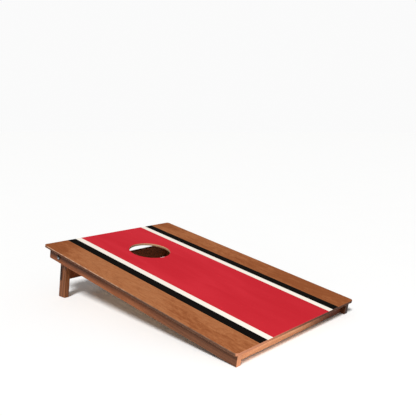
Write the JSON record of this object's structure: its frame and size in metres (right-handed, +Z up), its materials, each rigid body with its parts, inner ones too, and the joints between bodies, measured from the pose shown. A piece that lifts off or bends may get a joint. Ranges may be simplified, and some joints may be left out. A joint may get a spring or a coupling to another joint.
{
  "type": "cornhole board",
  "caption": "Low sloping lawn-game target board with a round bag hole, a batten frame under a painted plywood deck, and braced back legs that fold up into the frame.",
  "frame": {"origin": "on the ground, under the middle of the board's overall box", "axes": "+X across the board to its right seen from the low end, +Y along the board from the low front edge to the high end with the hole, +Z up"},
  "size_m": [0.6096, 0.9032, 0.1957],
  "materials": {
    "painted_ply": "satin paint in stripes over stained plywood",
    "rail_wood": "satin stained softwood",
    "leg_wood": "satin stained softwood, darker",
    "dowel_wood": "raw beech",
    "dark_steel": "dark oxide coating, worn at the crown",
    "zinc_steel": "bright zinc plating",
    "nylon": "matte"
  },
  "bodies": {
    "frame": {"back_rail": "rail_wood", "deck_panel": "painted_ply", "deck_screw_back_1": "zinc_steel", "deck_screw_back_2": "zinc_steel", "deck_screw_back_3": "zinc_steel", "deck_screw_front_1": "zinc_steel", "deck_screw_front_2": "zinc_steel", "deck_screw_front_3": "zinc_steel", "deck_screw_left_1": "zinc_steel", "deck_screw_left_2": "zinc_steel", "deck_screw_left_3": "zinc_steel", "deck_screw_left_4": "zinc_steel", "deck_screw_right_1": "zinc_steel", "deck_screw_right_2": "zinc_steel", "deck_screw_right_3": "zinc_steel", "deck_screw_right_4": "zinc_steel", "dowel_back_left_1": "dowel_wood", "dowel_back_left_2": "dowel_wood", "dowel_back_right_1": "dowel_wood", "dowel_back_right_2": "dowel_wood", "dowel_front_left_1": "dowel_wood", "dowel_front_left_2": "dowel_wood", "dowel_front_right_1": "dowel_wood", "dowel_front_right_2": "dowel_wood", "flat_washer_left": "zinc_steel", "flat_washer_right": "zinc_steel", "front_rail": "rail_wood", "leg_spacer_left": "zinc_steel", "leg_spacer_right": "zinc_steel", "lock_nut_left": "zinc_steel", "lock_nut_right": "zinc_steel", "nut_insert_left": "nylon", "nut_insert_right": "nylon", "pivot_bolt_left": "dark_steel", "pivot_bolt_right": "dark_steel", "side_rail_left": "rail_wood", "side_rail_right": "rail_wood"},
    "leg_assembly": {"brace_screw_left_1": "zinc_steel", "brace_screw_left_2": "zinc_steel", "brace_screw_right_1": "zinc_steel", "brace_screw_right_2": "zinc_steel", "leg_brace": "leg_wood", "leg_left": "leg_wood", "leg_right": "leg_wood"}
  },
  "joints": [
    {"name": "leg_fold", "type": "hinge", "parent": "frame", "child": "leg_assembly", "pos_m": [0, 0.38161, 0.15569], "axis": [-1, 0, 0], "range_deg": [0, 90]}
  ]
}
